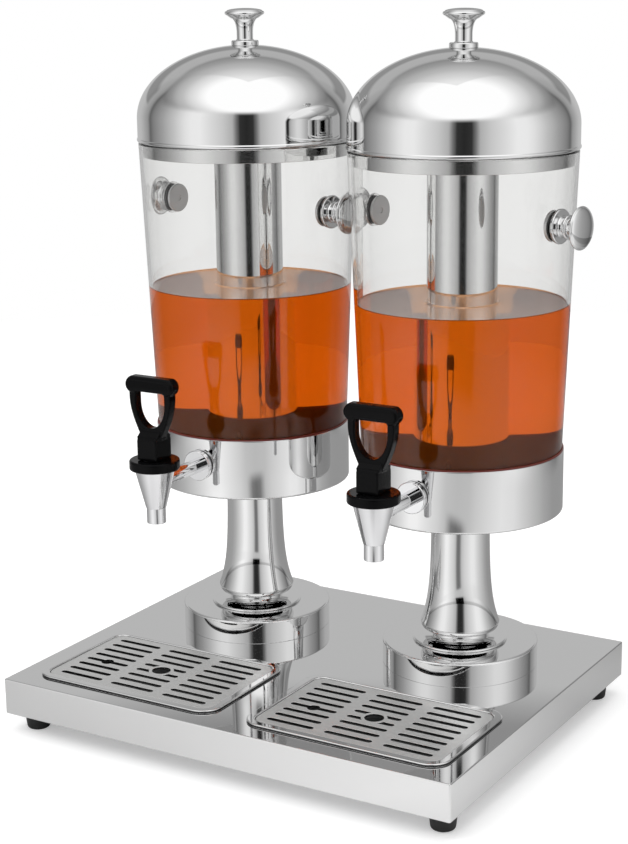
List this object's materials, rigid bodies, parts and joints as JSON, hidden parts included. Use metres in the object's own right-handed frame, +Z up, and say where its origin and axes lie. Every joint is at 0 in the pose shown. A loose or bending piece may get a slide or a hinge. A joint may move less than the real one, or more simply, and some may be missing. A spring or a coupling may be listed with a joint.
{
  "type": "juice dispenser",
  "caption": "Twin juice dispenser: clear tanks with ice tubes and domed steel lids on pedestals, each with a lever tap over a drip tray in one steel base.",
  "frame": {"origin": "on the floor under the middle of the base box", "axes": "+Z up, +X from the left unit to the right unit, taps towards -Y"},
  "size_m": [0.499, 0.382, 0.6775],
  "materials": {
    "polished_steel": "mirror polished",
    "plain_steel": "plain",
    "satin_steel": "satin",
    "chromed_brass": "mirror polished",
    "clear_plastic": "clear",
    "juice": "clear liquid",
    "black_plastic": "glossy",
    "foot_rubber": "matte",
    "dark_rubber": "matte",
    "red_rubber": "matte",
    "silicone": "matte"
  },
  "bodies": {
    "base": {"base_pan": "polished_steel", "base_cover": "plain_steel", "feet": "foot_rubber", "foot_screws": "plain_steel", "pedestal_bolts": "plain_steel", "stem_screws": "plain_steel", "tube_seals": "dark_rubber", "tube_nuts": "plain_steel", "knob_bolts": "polished_steel", "knob_seals": "dark_rubber", "tap_washers": "dark_rubber", "left_pedestal_disc": "polished_steel", "right_pedestal_disc": "polished_steel", "left_stem_foot": "polished_steel", "right_stem_foot": "polished_steel", "left_stem": "polished_steel", "right_stem": "polished_steel", "left_collar": "polished_steel", "right_collar": "polished_steel", "left_tank_seals": "red_rubber", "right_tank_seals": "red_rubber", "left_tank": "clear_plastic", "right_tank": "clear_plastic", "left_ice_tube": "polished_steel", "right_ice_tube": "polished_steel", "left_juice": "juice", "right_juice": "juice", "left_side_knobs": "polished_steel", "right_side_knobs": "polished_steel", "left_tap_body": "chromed_brass", "right_tap_body": "chromed_brass", "left_tap_nuts": "chromed_brass", "right_tap_nuts": "chromed_brass", "left_tap_bonnet": "black_plastic", "right_tap_bonnet": "black_plastic"},
    "left_lid": {"left_lid_dome": "polished_steel", "left_lid_skirt": "polished_steel", "left_lid_knob": "polished_steel", "left_lid_screw": "plain_steel"},
    "left_lever": {"left_tap_lever": "black_plastic", "left_lever_pin": "plain_steel"},
    "left_valve": {"left_valve_stem": "plain_steel", "left_seat_cup": "silicone"},
    "left_tray": {"left_drip_tray": "polished_steel"},
    "left_grille": {"left_grille": "satin_steel"},
    "right_lid": {"right_lid_dome": "polished_steel", "right_lid_skirt": "polished_steel", "right_lid_knob": "polished_steel", "right_lid_screw": "plain_steel"},
    "right_lever": {"right_tap_lever": "black_plastic", "right_lever_pin": "plain_steel"},
    "right_valve": {"right_valve_stem": "plain_steel", "right_seat_cup": "silicone"},
    "right_tray": {"right_drip_tray": "polished_steel"},
    "right_grille": {"right_grille": "satin_steel"}
  },
  "joints": [
    {"name": "left_lid_lift", "type": "slide", "parent": "base", "child": "left_lid", "axis": [0, 0, 1], "range_m": [0, 0.12]},
    {"name": "left_lever_pull", "type": "hinge", "parent": "base", "child": "left_lever", "pos_m": [-0.118, -0.1135, 0.2678], "axis": [1, 0, 0], "range_deg": [0, 30], "stiffness_Nm_per_rad": 0.3, "springref_deg": -5.73},
    {"name": "left_valve_lift", "type": "slide", "parent": "base", "child": "left_valve", "axis": [0, 0, 1], "range_m": [0, 0.00539]},
    {"name": "left_tray_lift", "type": "slide", "parent": "base", "child": "left_tray", "axis": [0, 0, 1], "range_m": [0, 0.06]},
    {"name": "left_grille_lift", "type": "slide", "parent": "left_tray", "child": "left_grille", "axis": [0, 0, 1], "range_m": [0, 0.06]},
    {"name": "right_lid_lift", "type": "slide", "parent": "base", "child": "right_lid", "axis": [0, 0, 1], "range_m": [0, 0.12]},
    {"name": "right_lever_pull", "type": "hinge", "parent": "base", "child": "right_lever", "pos_m": [0.118, -0.1135, 0.2678], "axis": [1, 0, 0], "range_deg": [0, 30], "stiffness_Nm_per_rad": 0.3, "springref_deg": -5.73},
    {"name": "right_valve_lift", "type": "slide", "parent": "base", "child": "right_valve", "axis": [0, 0, 1], "range_m": [0, 0.00539]},
    {"name": "right_tray_lift", "type": "slide", "parent": "base", "child": "right_tray", "axis": [0, 0, 1], "range_m": [0, 0.06]},
    {"name": "right_grille_lift", "type": "slide", "parent": "right_tray", "child": "right_grille", "axis": [0, 0, 1], "range_m": [0, 0.06]}
  ],
  "couplings": [
    {"joint": "left_valve_lift", "follows": "left_lever_pull", "m_per_rad": 0.010304},
    {"joint": "right_valve_lift", "follows": "right_lever_pull", "m_per_rad": 0.010304}
  ]
}
